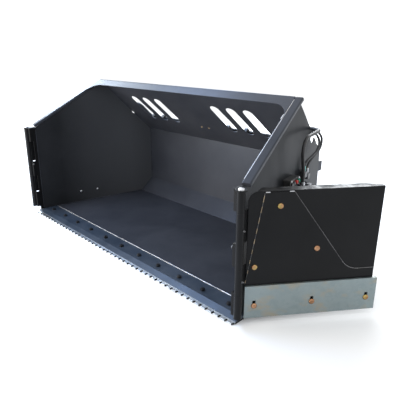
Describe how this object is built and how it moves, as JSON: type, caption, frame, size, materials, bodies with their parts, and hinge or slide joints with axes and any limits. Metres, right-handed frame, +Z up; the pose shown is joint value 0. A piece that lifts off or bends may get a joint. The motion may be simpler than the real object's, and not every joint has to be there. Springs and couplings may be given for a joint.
{
  "type": "skid steer snow bucket",
  "caption": "High-volume loader bucket for snow with a serrated cutting edge, sight slots and a hydraulic folding wing on each side.",
  "frame": {"origin": "on the ground, in the middle of the whole object's footprint, wings included", "axes": "+X to the bucket's right seen from the front, -Y out of the mouth, +Y to the loader, +Z up; the part is symmetric about X = 0"},
  "size_m": [3.4218, 1.37, 1.1992],
  "materials": {
    "black_paint": "gloss black powder coat, light scuffs",
    "edge_paint": "black paint, worn along the bevel",
    "raw_steel": "plain hardened steel, lightly ground",
    "galvanised": "galvanised, cloudy spangle",
    "bright_zinc": "clear zinc plate",
    "yellow_zinc": "yellow zinc plate",
    "dark_bolt": "black oxide with bright rims",
    "hard_chrome": "ground hard chrome",
    "valve_body": "zinc plated block",
    "hose_rubber": "wrapped rubber cover",
    "clamp_plastic": "moulded polypropylene",
    "coupler_steel": "zinc plated, knurled"
  },
  "bodies": {
    "bucket": {"floor_and_back": "black_paint", "upper_back": "black_paint", "top_lip": "black_paint", "right_corner_gusset": "black_paint", "left_corner_gusset": "black_paint", "right_side_plate": "black_paint", "left_side_plate": "black_paint", "right_rim_tube": "black_paint", "left_rim_tube": "black_paint", "right_hinge_post": "black_paint", "left_hinge_post": "black_paint", "attach_plate": "black_paint", "right_attach_ear": "black_paint", "left_attach_ear": "black_paint", "back_beam": "black_paint", "right_back_rib": "black_paint", "left_back_rib": "black_paint", "right_cylinder_bracket": "black_paint", "left_cylinder_bracket": "black_paint", "base_edge": "edge_paint", "serrated_edge": "raw_steel", "right_skid_runner": "raw_steel", "left_skid_runner": "raw_steel", "right_hinge_pin": "bright_zinc", "left_hinge_pin": "bright_zinc", "right_cylinder_pin": "bright_zinc", "left_cylinder_pin": "bright_zinc", "edge_nuts": "bright_zinc", "edge_bolts": "dark_bolt", "right_lock_valve": "valve_body", "left_lock_valve": "valve_body", "right_port_blocks": "valve_body", "left_port_blocks": "valve_body", "manifold": "valve_body", "right_cylinder_hose": "hose_rubber", "left_cylinder_hose": "hose_rubber", "right_valve_hoses": "hose_rubber", "left_valve_hoses": "hose_rubber", "supply_hoses": "hose_rubber", "hose_clamps": "clamp_plastic", "couplers": "coupler_steel", "coupler_clips": "coupler_steel"},
    "right_wing": {"right_wing_skin": "black_paint", "right_wing_face_plate": "black_paint", "right_wing_hinge": "black_paint", "right_wing_cutting_edge": "galvanised", "right_wing_bolts": "yellow_zinc", "right_wing_nuts": "bright_zinc", "right_wing_lug": "black_paint"},
    "left_wing": {"left_wing_skin": "black_paint", "left_wing_face_plate": "black_paint", "left_wing_hinge": "black_paint", "left_wing_cutting_edge": "galvanised", "left_wing_bolts": "yellow_zinc", "left_wing_nuts": "bright_zinc", "left_wing_lug": "black_paint"},
    "right_cylinder": {"right_cylinder_barrel": "black_paint"},
    "left_cylinder": {"left_cylinder_barrel": "black_paint"},
    "right_rod": {"right_cylinder_rod": "hard_chrome"},
    "left_rod": {"left_cylinder_rod": "hard_chrome"}
  },
  "joints": [
    {"name": "right_wing_hinge", "type": "hinge", "parent": "bucket", "child": "right_wing", "pos_m": [1.256, -0.661, 0.4], "axis": [0, 0, 1], "range_deg": [-54, 12]},
    {"name": "right_cylinder_swivel", "type": "hinge", "parent": "bucket", "child": "right_cylinder", "pos_m": [1.132, 0.177, 0.588], "axis": [0, 0, 1], "range_deg": [-2.1, 9.2]},
    {"name": "right_rod_slide", "type": "slide", "parent": "right_cylinder", "child": "right_rod", "axis": [0.195, -0.9808, 0], "range_m": [-0.021, 0.093]},
    {"name": "left_wing_hinge", "type": "hinge", "parent": "bucket", "child": "left_wing", "pos_m": [-1.256, -0.661, 0.4], "axis": [0, 0, -1], "range_deg": [-54, 12]},
    {"name": "left_cylinder_swivel", "type": "hinge", "parent": "bucket", "child": "left_cylinder", "pos_m": [-1.132, 0.177, 0.588], "axis": [0, 0, -1], "range_deg": [-2.1, 9.2]},
    {"name": "left_rod_slide", "type": "slide", "parent": "left_cylinder", "child": "left_rod", "axis": [-0.195, -0.9808, 0], "range_m": [-0.021, 0.093]}
  ],
  "couplings": [
    {"joint": "right_cylinder_swivel", "follows": "right_wing_hinge", "ratio": -0.16843},
    {"joint": "right_rod_slide", "follows": "right_wing_hinge", "m_per_rad": -0.0984},
    {"joint": "left_cylinder_swivel", "follows": "left_wing_hinge", "ratio": -0.16843},
    {"joint": "left_rod_slide", "follows": "left_wing_hinge", "m_per_rad": -0.0984}
  ]
}
